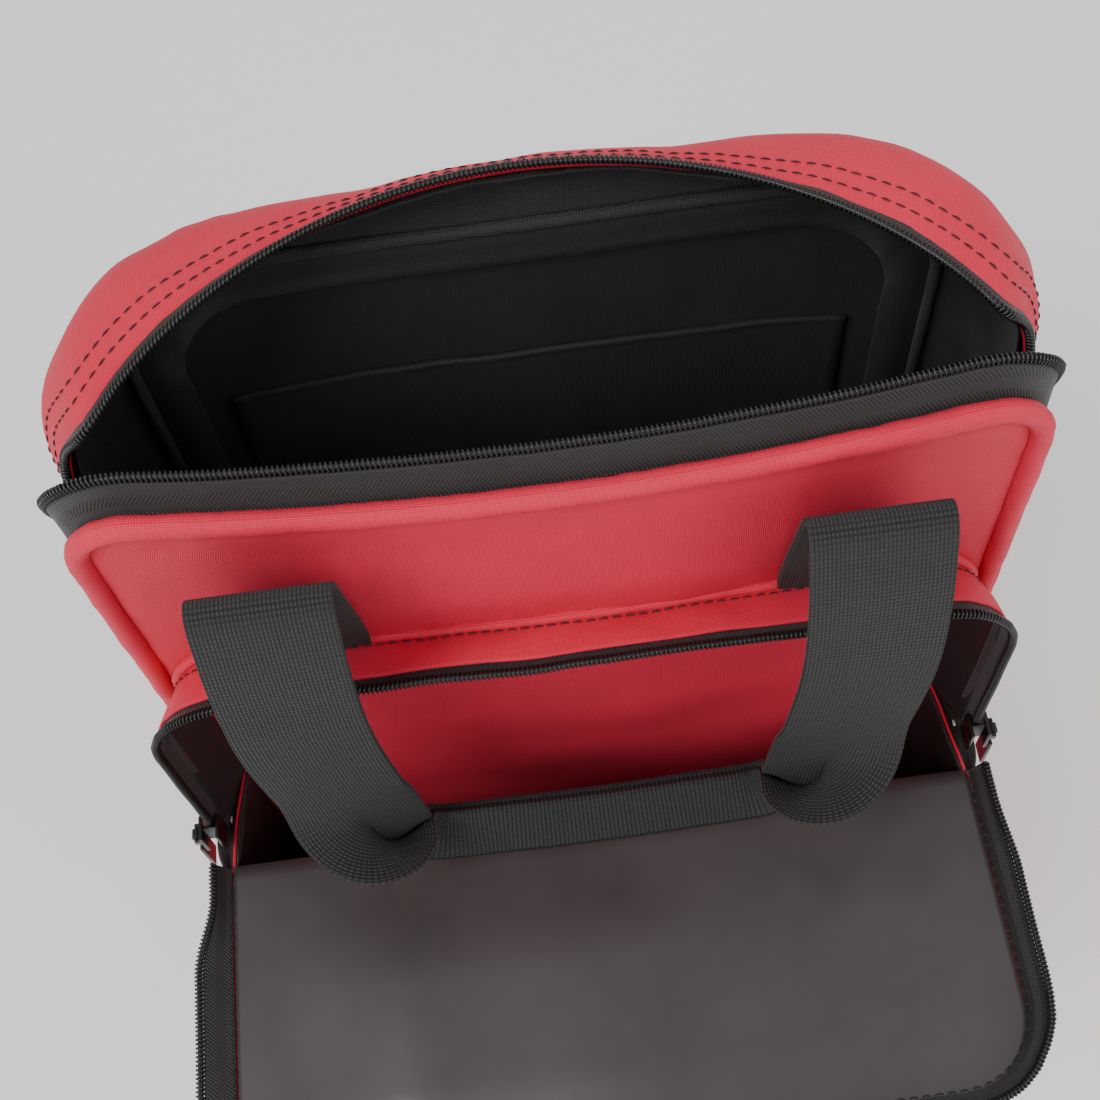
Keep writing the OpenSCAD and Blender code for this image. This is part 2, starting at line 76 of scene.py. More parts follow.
# The plan of the sides: where the back corners start, and their radius
CORNER_Y = 16.0
CORNER_R = 35.0
# The front pocket
FOLD_Y, FOLD_Z = -84.0, 250.0
POCKET_ZIP_Y = -70.6
POCKET_TOP = 350.0
POCKET_HALF = 121.5
POCKET_R = 25.0
POCKET_FLOOR = 14.0
POCKET_FOOT_R = 15.0
# The handles
LEG_X = 79.5
WEBBING = 38.0


# ---- Small maths ------------------------------------------------------------------------------------
def mix(a, b, t):
    return a + (b - a) * t


def smooth(t):
    t = np.clip(t, 0.0, 1.0)
    return t * t * (3 - 2 * t)


def unit(v):
    v = np.asarray(v, float)
    return v / np.maximum(np.linalg.norm(v, axis=-1, keepdims=True), 1e-9)


def lengths(p):
    """The distance along a path, at each of its points."""
    return np.concatenate([[0], np.cumsum(np.linalg.norm(np.diff(p, axis=0), axis=1))])


def along(values, s, at):
    """Values that belong to the distances s, read at other distances."""
    return np.column_stack([np.interp(at, s, column) for column in values.T])


def spread(p, n):
    """The path as n points, evenly apart."""
    s = lengths(p)
    return along(p, s, np.linspace(0, s[-1], n))


def resample(p, step):
    """The path as points about step apart."""
    return spread(p, max(2, int(round(lengths(p)[-1] / step)) + 1))


def dense(points, step):
    """A smooth curve through the points, as points about step apart."""
    p = np.asarray(points, float)
    q = np.vstack([2 * p[0] - p[1], p, 2 * p[-1] - p[-2]])
    out = []
    for a, b, c, d in zip(q, q[1:], q[2:], q[3:]):
        square, cube = 2 * a - 5 * b + 4 * c - d, 3 * b - a - 3 * c + d
        for t in np.linspace(0, 1, 12, endpoint=False):
            out.append(0.5 * (2 * b + (c - a) * t + square * t**2 + cube * t**3))
    out.append(p[-1])
    return resample(np.array(out), step)


def smoothed(p, rounds):
    """Each point moved towards its neighbours, apart from the ends."""
    for _ in range(rounds):
        p[1:-1] = (p[:-2] + 2 * p[1:-1] + p[2:]) / 4
    return p


def arc(cx, cz, r, degrees):
    return [(cx + r * math.cos(a), cz + r * math.sin(a)) for a in np.radians(degrees)]


def arch_path(w, foot, top, r, step=4.0):
    """A rounded arch in the XZ plane, from its left foot over the top to its right foot."""
    corner = arc(-w + r, top - r, r, range(165, 90, -15))
    half = [(-w, foot), (-w, top - r), *corner, (-w + r, top), (0.0, top)]
    return resample(np.array(half + [(-x, z) for x, z in half[-2::-1]]), step)


def loop_path(w, foot, top, r, foot_r, step=4.0):
    """The same, closed round its bottom, as a ring that starts at the middle of the top."""
    ring = [(0.0, top)]
    for cx, cz, cr, a in ((w - r, top - r, r, 90), (w - foot_r, foot + foot_r, foot_r, 0),
                          (-w + foot_r, foot + foot_r, foot_r, -90), (-w + r, top - r, r, -180)):
        ring += arc(cx, cz, cr, range(a, a - 91, -15))
    return resample(np.array(ring + [(0.0, top)]), step)[:-1]


def facing(directions, away):
    """The directions, each turned round where it doesn't point the same way as its vector in away."""
    return directions * np.sign(np.sum(directions * away, -1, keepdims=True))


# ---- The bag's surfaces -----------------------------------------------------------------------------
def bow(x):
    return 1 - (x / HALF) ** 2


def front_y(x, z):
    return -FRONT - BULGE * bow(x) * np.sin(np.pi / 2 * np.clip(z / 200, 0, 1))


def sag(x, z):
    return SAG * bow(x) * smooth((z - 300) / (RIM - 300))


def front_points(x, z, dy=0.0):
    return np.stack([x, front_y(x, z) + dy, z - sag(x, z)], -1)


def back_y(x):
    return BACK - 13.3 * (x / BACK_HALF) ** 4


def back_sag(x, z):
    return BACK_SAG * (1 - np.minimum(np.abs(x) / BACK_HALF, 1) ** 2) * smooth((z - 300) / 120)


def back_points(x, z, dy=0.0):
    return np.stack([x, back_y(x) + dy, z - back_sag(x, z)], -1)


def side_x(y):
    """Half the bag's width at y: bowed along the sides, then round the back corners."""
    y = np.asarray(y, float)
    near = HALF + 2.6 + 4.4 * np.sin(np.pi / 2 * (y + FRONT) / (FRONT + CORNER_Y))
    far = HALF + 7 - CORNER_R + np.sqrt(np.maximum(CORNER_R**2 - np.maximum(y - CORNER_Y, 0) ** 2, 0))
    return np.where(y < CORNER_Y, near, far)


# ---- Meshes -----------------------------------------------------------------------------------------
def new_object(name, verts, faces, uvs=None):
    mesh = bpy.data.meshes.new(name)
    mesh.from_pydata([tuple(v) for v in np.asarray(verts) * MM], [], faces)
    mesh.validate()
    if uvs is not None:
        layer = mesh.uv_layers.new(name="weave")
        loops = np.zeros(len(mesh.loops), np.int32)
        mesh.loops.foreach_get("vertex_index", loops)
        layer.data.foreach_set("uv", (np.asarray(uvs)[loops] * MM).ravel().astype(np.float32))
    mesh.polygons.foreach_set("use_smooth", [True] * len(mesh.polygons))
    obj = bpy.data.objects.new(name, mesh)
    bpy.context.scene.collection.objects.link(obj)
    return obj


def grid(name, pts):
    """A sheet through rows and columns of points, with its UVs laid flat."""
    pts = np.asarray(pts, float)
    rows, cols = pts.shape[:2]
    u = np.zeros((rows, cols))
    v = np.zeros((rows, cols))
    u[1:] = np.cumsum(np.linalg.norm(np.diff(pts, axis=0), axis=2), axis=0)
    v[:, 1:] = np.cumsum(np.linalg.norm(np.diff(pts, axis=1), axis=2), axis=1)
    u = np.repeat(u.mean(axis=1, keepdims=True), cols, axis=1)
    k = np.arange(rows * cols).reshape(rows, cols)
    faces = np.stack([k[:-1, :-1], k[1:, :-1], k[1:, 1:], k[:-1, 1:]], -1).reshape(-1, 4).tolist()
    return new_object(name, pts.reshape(-1, 3), faces, np.stack([u, v], -1).reshape(-1, 2))


def weld(obj, distance=0.00001):
    bm = bmesh.new()
    bm.from_mesh(obj.data)
    bmesh.ops.remove_doubles(bm, verts=bm.verts, dist=distance)
    bm.to_mesh(obj.data)
    bm.free()


def apply_all(obj):
    deps = bpy.context.evaluated_depsgraph_get()
    mesh = bpy.data.meshes.new_from_object(obj.evaluated_get(deps))
    obj.modifiers.clear()
    obj.data = mesh
    return obj


def thicken(obj, t, side):
    """Gives a sheet its thickness: both ways for side 0, along its normal for 1, against it for -1."""
    m = obj.modifiers.new("thickness", "SOLIDIFY")
    m.thickness = t * MM
    m.offset = side
    m.use_rim = True
    return smooth_shaded(apply_all(obj))


def smooth_shaded(obj):
    obj.data.polygons.foreach_set("use_smooth", [True] * len(obj.data.polygons))
    return obj


def round_rings(angle, a, b):
    """A unit circle at each point of a path, in the plane of the directions a and b."""
    return np.cos(angle)[None, :, None] * a[:, None] + np.sin(angle)[None, :, None] * b[:, None]


def frames(path, closed=False):
    """Tangents, and two directions across, carried along a path without twist."""
    p = np.asarray(path, float)
    run = unit(np.roll(p, -1, 0) - np.roll(p, 1, 0)) if closed else unit(np.gradient(p, axis=0))
    side = np.zeros_like(p)
    start = np.cross(run[0], (0.3, 1.0, 0.2))
    side[0] = unit(start)
    for i in range(1, len(p)):
        s = side[i - 1] - run[i] * np.dot(side[i - 1], run[i])
        side[i] = unit(s)
    return run, side, np.cross(run, side)


def tube(name, path, r, sides=12, closed=False, ripple=0.0, seed=0.0):
    """A round tube. ripple is how far its surface wanders, for cloth over a cord."""
    p = np.asarray(path, float)
    run, a, b = frames(p, closed)
    if closed:
        turn = math.atan2(np.dot(np.cross(a[-1], a[0]), run[0]), np.dot(a[-1], a[0]))
        fix = (turn * np.arange(len(p)) / len(p))[:, None]
        a, b = a * np.cos(fix) + b * np.sin(fix), b * np.cos(fix) - a * np.sin(fix)
    angle = np.linspace(0, 2 * np.pi, sides + 1)
    ring = p[:, None] + round_rings(angle, a, b) * r
    if ripple:
        out = unit(ring - p[:, None])
        ring = ring + out * ripple * fbm(ring, 0.11, seed)[..., None]
    if closed:
        ring = np.concatenate([ring, ring[:1]])
        p = np.concatenate([p, p[:1]])
    rows, cols = ring.shape[:2]
    uv = np.stack([np.repeat(lengths(p)[:, None], cols, 1), np.repeat(angle[None] * r, rows, 0)], -1)
    k = np.arange(rows * cols).reshape(rows, cols)
    faces = np.stack([k[:-1, :-1], k[:-1, 1:], k[1:, 1:], k[1:, :-1]], -1).reshape(-1, 4).tolist()
    if not closed:
        faces += [list(range(sides))[::-1], list(range((rows - 1) * cols, rows * cols - 1))]
    obj = new_object(name, ring.reshape(-1, 3), faces, uv.reshape(-1, 2))
    weld(obj, 0.000002)
    return obj


def fbm(pts, freq, seed=0.0, octaves=3):
    """Smooth noise of about -1 to 1 at each point."""
    flat = np.asarray(pts, float).reshape(-1, 3) * freq + seed * 17.3
    out = np.array([noise.fractal(Vector(p), 0.6, 2.1, octaves) for p in flat])
    return out.reshape(np.asarray(pts).shape[:-1])


def grid_normals(pts):
    return unit(np.cross(np.gradient(pts, axis=0), np.gradient(pts, axis=1)))


def joined(name, objs):
    """Several objects as one, keeping their UVs."""
    bm = bmesh.new()
    for o in objs:
        bm.from_mesh(o.data)
    mesh = bpy.data.meshes.new(name)
    bm.to_mesh(mesh)
    bm.free()
    for o in objs:
        bpy.data.objects.remove(o)
    obj = bpy.data.objects.new(name, mesh)
    bpy.context.scene.collection.objects.link(obj)
    return obj


# ---- Materials --------------------------------------------------------------------------------------
class Shader:
    """A node tree with a Principled shader, and short ways to add what feeds it."""

    def __init__(self, name, rough, color=None, **values):
        self.mat = bpy.data.materials.new(name)
        self.mat.use_nodes = True
        self.tree = self.mat.node_tree
        self.bsdf = self.tree.nodes["Principled BSDF"]
        self.bsdf.inputs["Roughness"].default_value = rough
        if color:
            self.bsdf.inputs["Base Color"].default_value = (*color, 1)
            self.mat.diffuse_color = (*color, 1)
        for socket, value in values.items():
            self.bsdf.inputs[socket.replace("_", " ")].default_value = value

    def node(self, kind, inputs=(), **settings):
        n = self.tree.nodes.new(kind)
        for key, value in settings.items():
            setattr(n, key, value)
        for key, value in dict(inputs).items():
            self.feed(n.inputs[key], value)
        return n

    def feed(self, socket, value):
        if isinstance(value, bpy.types.NodeSocket):
            self.tree.links.new(value, socket)
        else:
            socket.default_value = value

    def math(self, op, a, b=0.0, c=0.0):
        return self.node("ShaderNodeMath", {0: a, 1: b, 2: c}, operation=op).outputs[0]

    def uv(self):
        """The cloth's own coordinates, in metres along and across."""
        s = self.node("ShaderNodeSeparateXYZ", {0: self.node("ShaderNodeUVMap", uv_map="weave").outputs[0]})
        return s.outputs[0], s.outputs[1]

    def noise(self, scale, detail=3.0, vector=None):
        at = vector or self.node("ShaderNodeTexCoord").outputs["Object"]
        inputs = {"Vector": at, "Scale": scale, "Detail": detail, "Roughness": 0.55}
        return self.node("ShaderNodeTexNoise", inputs).outputs["Fac"]

    def mix_color(self, fac, a, b):
        n = self.node("ShaderNodeMix", data_type="RGBA")
        self.feed(n.inputs[0], fac)
        for k, v in ((6, a), (7, b)):
            self.feed(n.inputs[k], v if isinstance(v, bpy.types.NodeSocket) else (*v, 1))
        return n.outputs[2]

    def ramp(self, value, low, high, to_low=0.0, to_high=1.0):
        n = self.node("ShaderNodeMapRange", {0: value, 1: low, 2: high, 3: to_low, 4: to_high})
        return n.outputs[0]

    def color(self, socket):
        self.tree.links.new(socket, self.bsdf.inputs["Base Color"])

    def rough(self, socket):
        self.tree.links.new(socket, self.bsdf.inputs["Roughness"])

    def bump(self, *layers):
        """Layers of (height, depth in metres, strength)."""
        normal = None
        for height, depth, strength in layers:
            n = self.node("ShaderNodeBump", {"Height": height, "Distance": depth, "Strength": strength})
            if normal is not None:
                self.tree.links.new(normal, n.inputs["Normal"])
            normal = n.outputs[0]
        self.tree.links.new(normal, self.bsdf.inputs["Normal"])

    def slub(self, along_u, along_v):
        """The uneven thickness of a thread, as noise stretched along it."""
        u, v = self.uv()
        stretched = {0: self.math("MULTIPLY", u, along_u), 1: self.math("MULTIPLY", v, along_v)}
        return self.noise(1.0, 2.0, vector=self.node("ShaderNodeCombineXYZ", stretched).outputs[0])

    def weave(self, pitch_u, pitch_v):
        """A plain weave of threads of those pitches: (its height, 1 on warp and 0 on weft threads)."""
        u, v = self.uv()
        a = self.math("SINE", self.math("MULTIPLY", u, math.pi / pitch_u))
        b = self.math("SINE", self.math("MULTIPLY", v, math.pi / pitch_v))
        over = self.math("MULTIPLY", a, b)
        height = self.math("POWER", self.math("ABSOLUTE", over), 0.6)
        return height, self.ramp(over, -0.2, 0.2)


def woven(name, dark, light, pitch, depth, rough, sheen, strength=0.8):
    """Cloth in a plain weave, painted lighter on its thread crests and darker in the gaps between threads as
    painted shade, with the threads' own uneven tone. pitch is one value, or one along and one across.
    """
    shown = tuple(mix(np.array(dark), np.array(light), 0.6))
    s = Shader(name, rough, shown, Sheen_Weight=sheen, Sheen_Roughness=0.35)
    pitch_u, pitch_v = pitch if isinstance(pitch, tuple) else (pitch, pitch)
    height, warp = s.weave(pitch_u, pitch_v)
    thread = s.node("ShaderNodeMix", {0: warp, 2: s.slub(140.0, 1900.0), 3: s.slub(1900.0, 140.0)},
                    data_type="FLOAT").outputs[0]
    uneven = s.math("MULTIPLY", s.math("SUBTRACT", thread, 0.5), 0.6)
    # Painted shade: the colour follows the weave's height, dark in the gaps between threads and light on the
    # crests. The slub noise is the threads' own uneven tone.
    base = s.mix_color(s.math("ADD", s.math("MULTIPLY", height, 0.75), uneven), dark, light)
    cloud = s.ramp(s.noise(9.0, 4.0), 0.3, 0.7, 0.88, 1.12)
    shade = s.node("ShaderNodeVectorMath", {0: base, "Scale": cloud}, operation="SCALE")
    s.color(shade.outputs[0])
    s.rough(s.ramp(height, 0.0, 1.0, min(rough + 0.15, 1.0), rough - 0.05))
    s.bump((s.noise(160.0, 3.0), 0.0004, 0.25), (height, depth, strength))
    return s.mat


def herringbone(name, dark, light, rib, width, rough):
    """Zip tape: narrow ribs that turn back and forth across its width."""
    s = Shader(name, rough, tuple(mix(np.array(dark), np.array(light), 0.5)), Sheen_Weight=0.15)
    u, v = s.uv()
    zig = s.math("PINGPONG", v, width)
    rib_at = s.math("MULTIPLY", s.math("ADD", u, s.math("MULTIPLY", zig, 0.8)), 2 * math.pi / rib)
    height = s.math("MULTIPLY_ADD", s.math("SINE", rib_at), 0.5, 0.5)
    worn = s.ramp(s.noise(60.0), 0.3, 0.7, 0.7, 1.1)
    # Painted shade: the colour follows the ribs' height, dark in the grooves and light on the crests. worn
    # adds an uneven tone.
    s.color(s.mix_color(s.math("MULTIPLY", height, worn), dark, light))
    s.bump((height, 0.00022, 0.8))
    return s.mat


def plain(name, color, rough, grain=300.0, depth=0.0001, metallic=0.0, spread=0.12, **values):
    """A moulded, enamelled or coated surface with a fine grain and some wear."""
    s = Shader(name, rough, color, Metallic=metallic, **values)
    c = np.array(color)
    darker, lighter = tuple(c * (1 - spread)), tuple(np.minimum(c * (1 + spread), 1))
    s.color(s.mix_color(s.ramp(s.noise(25.0, 4.0), 0.35, 0.65), darker, lighter))
    s.rough(s.ramp(s.noise(40.0), 0.3, 0.7, max(rough - 0.08, 0.02), min(rough + 0.08, 1)))
    s.bump((s.noise(grain, 3.0), depth, 0.4))
    return s.mat


RED_DARK, RED_LIGHT = (0.56, 0.009, 0.034), (0.94, 0.021, 0.076)
BLACK_DARK, BLACK_LIGHT = (0.004, 0.004, 0.0045), (0.034, 0.033, 0.035)
NYLON_PITCH = 0.00062
M = {
    "red": woven("red_nylon", RED_DARK, RED_LIGHT, NYLON_PITCH, 0.00022, 0.6, sheen=0.02),
    "piping": woven("red_piping", RED_DARK, (0.96, 0.024, 0.080), NYLON_PITCH, 0.0002, 0.55, sheen=0.02),
    "lining": woven("black_lining", (0.006, 0.006, 0.007), (0.030, 0.029, 0.031), 0.0008, 0.0002, 0.62,
                    sheen=0.1),
    "webbing": woven("black_webbing", BLACK_DARK, BLACK_LIGHT, (0.0014, 0.0011), 0.0007, 0.65, sheen=0.06,
                     strength=1.0),
    "webbing_fine": woven("binding_tape", (0.008, 0.008, 0.008), (0.040, 0.039, 0.041), 0.0008, 0.0003, 0.6,
                          sheen=0.1),
    "tape": herringbone("zip_tape", (0.004, 0.004, 0.004), (0.020, 0.019, 0.020), 0.0012, 0.0032, 0.6),
    "coat": plain("grey_coating", (0.050, 0.042, 0.043), 0.40, grain=420.0, depth=0.00006, spread=0.10,
                  Sheen_Weight=0.05),
    # The grey coating again, painted darker as painted shade for the inside of the pocket.
    "coat_shaded": plain("grey_coating_painted_shade", (0.030, 0.027, 0.028), 0.5, grain=420.0, depth=0.00006, spread=0.10),
    "coil": plain("coil_nylon", (0.012, 0.012, 0.012), 0.30, grain=900.0, depth=0.00003),
    "thread": plain("black_thread", (0.014, 0.012, 0.013), 0.7, grain=2600.0, depth=0.00008),
    "metal": plain("black_enamel", (0.020, 0.020, 0.021), 0.28, grain=700.0, depth=0.00004, metallic=0.6),
    "stop": plain("stop_plastic", (0.78, 0.75, 0.68), 0.45, grain=800.0, depth=0.00004),
    "foam": plain("foam", (0.72, 0.72, 0.70), 0.85, grain=900.0, depth=0.0003),
}


def place(obj, mat, body, slot, *nodes):
    """Gives a finished piece its material and its body, and hides the CAD nodes it stands for."""
    obj.data.materials.clear()
    obj.data.materials.append(M[mat])
    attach(obj, body)
    if nodes:
        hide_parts(*nodes)
    return obj


def cloth(name, pts, t, mat, body, slot, *nodes, side=0.0):
    """A finished piece of cloth, t thick, through a grid of points."""
    return place(thicken(grid(name, pts), t, side=side), mat, body, slot, *nodes)


def blended(obj, mat, nodes):
    """Gives a finished piece its material, hides the CAD nodes it stands for, and bakes its placement into
    its mesh.
    """
    obj.data.materials.append(M[mat])
    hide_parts(*nodes)
    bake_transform(obj)


# ---- Camera, lights and floor -----------------------------------------------------------------------
def camera():
    """The photograph's view: from in front and high above, looking 62 degrees down, with a slight roll."""
    data = bpy.data.cameras.new("camera")
    data.lens = 52.36
    data.sensor_width = 36.0
    data.clip_start = 0.01
    cam = bpy.data.objects.new("camera", data)
    bpy.context.scene.collection.objects.link(cam)
    turn = Matrix.Rotation(math.radians(28), 4, "X") @ Matrix.Rotation(math.radians(-7.6), 4, "Z")
    cam.matrix_world = Matrix.Translation(Vector((-4.6, -258.7, 778.5)) * MM) @ turn
    bpy.context.scene.camera = cam


def light(name, place_at, look_at, size, power):
    data = bpy.data.lights.new(name, "AREA")
    data.shape = "SQUARE"
    data.size = size
    data.energy = power
    obj = bpy.data.objects.new(name, data)
    bpy.context.scene.collection.objects.link(obj)
    obj.location = place_at
    obj.rotation_euler = (Vector(look_at) - Vector(place_at)).to_track_quat("-Z", "Y").to_euler()


def studio():
    camera()
    world = bpy.data.worlds.new("world")
    world.use_nodes = True
    world.node_tree.nodes["Background"].inputs[0].default_value = (1, 1, 1, 1)
    world.node_tree.nodes["Background"].inputs[1].default_value = 0.75
    bpy.context.scene.world = world
    middle = (0, 0, 0.3)
    light("key", (-0.9, -0.8, 1.9), middle, 0.9, 24)
    light("fill", (1.2, -0.9, 1.3), middle, 1.2, 9)
    light("back", (0.3, 1.3, 1.5), middle, 1.2, 4)
    bpy.ops.mesh.primitive_plane_add(size=8, location=(0, 0, 0))
    floor = bpy.context.object
    floor.name = "floor"
    mat = Shader("floor", 0.7, (0.94, 0.94, 0.94)).mat
    floor.data.materials.append(mat)


studio()


# ---- Stitches and zip coils -------------------------------------------------------------------------
COIL_STEPS = 8


def stitches(name, path, up, length=2.9, gap=1.3, r=0.28):
    """A row of thread, each stitch a short arch that dips into the cloth at both ends."""
    p = np.asarray(path, float)
    s = lengths(p)
    up = unit(up)
    rings, sides = 5, 6
    verts, faces, uvs = [], [], []
    angle = np.linspace(0, 2 * np.pi, sides, endpoint=False)
    arch = np.sin(np.linspace(0, np.pi, rings))
    for start in np.arange(gap, s[-1] - length, length + gap):
        at = start + np.linspace(0, length, rings)
        n = unit(along(up, s, at))
        c = along(p, s, at) + n * (arch * r * 1.3 - r * 0.35)[:, None]
        run = unit(np.gradient(c, axis=0))
        side = unit(np.cross(run, n))
        thick = (r * (0.55 + 0.45 * arch))[:, None, None]
        ring = c[:, None] + round_rings(angle, side, np.cross(side, run)) * thick
        base = len(verts)
        verts += list(ring.reshape(-1, 3))
        uvs += [(a, b) for a in at for b in angle * r]
        for i in range(rings - 1):
            for j in range(sides):
                a, b = base + i * sides + j, base + i * sides + (j + 1) % sides
                faces.append((a, a + sides, b + sides, b))
        faces.append(tuple(base + j for j in range(sides)))
        faces.append(tuple(base + (rings - 1) * sides + j for j in reversed(range(sides))))
    return new_object(name, verts, faces, uvs)


def coil(name, path, across, up, ra=1.35, rb=1.05, wire=0.42, pitch=1.35):
    """A zip's coil: one nylon wire wound along the path, flattened towards the tape."""
    p = np.asarray(path, float)
    s = lengths(p)
    at = np.linspace(0, s[-1], int(s[-1] / pitch * COIL_STEPS))
    turn = at / pitch * 2 * np.pi
    a, b = unit(along(unit(across), s, at)), unit(along(unit(up), s, at))
    line = along(p, s, at) + a * (np.cos(turn) * ra)[:, None] + b * (np.sin(turn) * rb)[:, None]
    return tube(name, line, wire, sides=5)


def zip_coil(name, path, across, up, body, node, **radii):
    """A coil with the filler cord inside it, which shows between its turns."""
    core = tube("core", resample(np.asarray(path), 3.0), 0.85, sides=6)
    both = joined(name, [coil("turns", path, across, up, **radii), core])
    return place(both, "coil", body, "zip_coil", node)


# ---- Front and back panels --------------------------------------------------------------------------
def inside_x(z, w, foot, top, r, foot_r):
    """The half width of a panel's outline at each height."""
    x = np.full_like(z, w)
    high, low = z > top - r, z < foot + foot_r
    x[high] = w - r + np.sqrt(np.maximum(r * r - (z[high] - top + r) ** 2, 0))
    x[low] = w - foot_r + np.sqrt(np.maximum(foot_r * foot_r - (foot + foot_r - z[low]) ** 2, 0))
    return x


def edge_distance(x, z, w, foot, top, r):
    """How far inside the outline each point lies."""
    qx = np.abs(x) - (w - r)
    qz = np.abs(z - (foot + top) / 2) - ((top - foot) / 2 - r)
    return r - np.hypot(np.maximum(qx, 0), np.maximum(qz, 0)) - np.minimum(np.maximum(qx, qz), 0)


def panel(name, outline, surface, out, seed, rows=120, cols=80):
    """A plump panel of cloth inside its piping, tucked in and puckered along its seam.

    outline is the half width, foot, top, corner radius and foot radius. out is the sign of its outer side.
    """
    w, foot, top, r, foot_r = outline
    z = foot + (top - foot) * (0.5 - 0.5 * np.cos(np.linspace(0, np.pi, rows)))
    x = inside_x(z, w, foot, top, r, foot_r)
    t = np.sin(np.linspace(-np.pi / 2, np.pi / 2, cols))
    X = x[:, None] * (0.6 * t + 0.4 * np.linspace(-1, 1, cols))[None]
    Z = np.repeat(z[:, None], cols, 1)
    d = np.maximum(edge_distance(X, Z, w, foot, top, r), 0)
    pts = surface(X, Z)
    push = -0.9 * np.exp(-d / 2.0) + 0.45 * np.exp(-((d - 7) / 7) ** 2) * (fbm(pts, 0.09, seed) + 0.5)
    push += smooth(d / 50) * (0.9 + 1.5 * fbm(pts, 0.011, seed + 3))
    pts = pts.copy()
    pts[..., 1] += out * push
    return grid(name, pts)


def shrunk(outline, by):
    w, foot, top, r, foot_r = outline
    return w - by, foot + by, top - by, r - by, foot_r - by


def piping(name, pts, r, seed, *nodes):
    pipe = tube(name, pts, r, sides=18, closed=True, ripple=0.28, seed=seed)
    return place(pipe, "piping", "bag", "red_piping", *nodes)


FRONT_OUTLINE = (HALF, PANEL_FOOT, RIM - PIPE, FRONT_R, FOOT_R)
BACK_OUTLINE = (BACK_HALF, PANEL_FOOT, BACK_TOP, BACK_R, FOOT_R)
inset = PIPE_SEEN - 0.6
front = panel("front_panel_fabric", shrunk(FRONT_OUTLINE, inset), lambda x, z: front_points(x, z, -0.5),
              -1.0, 1.0)
place(thicken(front, 1.4, side=1.0), "red", "bag", "red_nylon", "front_panel")
back = panel("back_panel_fabric", shrunk(BACK_OUTLINE, inset), lambda x, z: back_points(x, z, 0.5), 1.0, 5.0)
place(thicken(back, 1.4, side=-1.0), "red", "bag", "red_nylon", "back_panel")
front_ring = front_points(*loop_path(*FRONT_OUTLINE, step=2.0).T)
piping("front_piping_cover", front_ring, PIPE_SEEN, 7.0, "front_piping")
back_ring = back_points(*loop_path(*BACK_OUTLINE, step=2.0).T)
piping("back_piping_cover", back_ring, PIPE_SEEN, 9.0, "back_piping")


# ---- The gusset: up one side, back over the opened mouth, and down the other ------------------------
RIM_START = 350.0
RIM_SIDE, RIM_CORNER, RIM_TOP = BACK_TOP - BACK_R - RIM_START, BACK_R * math.pi / 2, BACK_HALF - BACK_R
MIDDLE = np.array((0, 0, 250.0))


def rim_at(d):
    """A point of the back piping, d along it from its side at the mouth's start."""
    if d < RIM_SIDE:
        return BACK_HALF, RIM_START + d
    if d < RIM_SIDE + RIM_CORNER:
        t = (d - RIM_SIDE) / BACK_R
        return BACK_HALF - BACK_R + BACK_R * math.cos(t), BACK_TOP - BACK_R + BACK_R * math.sin(t)
    return BACK_HALF - BACK_R - (d - RIM_SIDE - RIM_CORNER), BACK_TOP


def mouth_pairs():
    """Points of the back half's coil over the mouth, right half, each with its point on the back piping."""
    coil_points = [(COIL_X, BACK_COIL_Y, MOUTH_Z), (COIL_X + 1.6, BACK_COIL_Y + 2, MOUTH_Z + 16),
                   (COIL_X - 0.6, BACK_COIL_Y + 6, MOUTH_Z + 34)]
    coil_points += [(128 * math.cos(t), -45 + 84 * math.sin(t) ** 1.3, RIM + 13 * math.sin(t))
                    for t in np.radians(range(20, 91, 10))]
    reach = RIM_SIDE + RIM_CORNER + RIM_TOP
    rim_points = [rim_at(reach * k / (len(coil_points) - 1)) for k in range(len(coil_points))]
    return np.array([(*c, *back_points(x, z)) for c, (x, z) in zip(coil_points, rim_points)])


def flip(p):
    """The other half of a row of pairs, in the order that carries on from this one."""
    q = np.array(p)[::-1].copy()
    q[:, 0::3] *= -1
    return q


def stations(foot, step=3.0):
    """Coil and piping points from the right foot, over the mouth, to the left foot."""
    side = np.array([(COIL_X, BACK_COIL_Y, z, BACK_HALF, back_y(BACK_HALF),
                      mix(2.0, RIM_START, (z - 2) / (MOUTH_Z - 2))) for z in np.linspace(foot, MOUTH_Z, 40)])
    over = mouth_pairs()
    over = dense(np.vstack([over, flip(over)[1:]]), step)
    return smoothed(resample(np.vstack([side[:-1], over, flip(side)[1:]]), step), 3)


def gusset_points(line, vs, reach=2.4):
    """The gusset's surface at each station, from its edge by the zip to its edge by the back piping."""
    c, k = line[:, :3], line[:, 3:]
    d = unit(k - c)
    near, far = c + reach * d, k - (PIPE - 0.8) * d
    out = unit(np.cross(unit(np.gradient(c, axis=0)), d))
    out = facing(out, mix(c, k, 0.5) - np.array((0, 10.0, 330.0)))
    for _ in range(12):
        out[1:-1] = unit(out[:-2] + 2 * out[1:-1] + out[2:])
    on_top = smooth((c[:, 2] - 372) / 50)[:, None]
    at_sides = 5.0 + 8.5 * smooth((np.abs(c[:, 0]) - 40) / 70)
    rows = []
    for v in vs:
        over = mix(near, far, v) + (at_sides * math.sin(math.pi * v ** 1.15) ** 0.7)[:, None] * out
        y = np.full(len(c), mix(BACK_COIL_Y + 1.1 + reach, 37.4, v))
        swell = 5.0 * math.sin(math.pi * v) * smooth((c[:, 2] - 120) / 230)
        upright = np.column_stack([np.sign(c[:, 0]) * (side_x(y) + swell), y, mix(c[:, 2], k[:, 2], v)])
        rows.append(mix(upright, over, on_top))
    return np.stack(rows, 1)


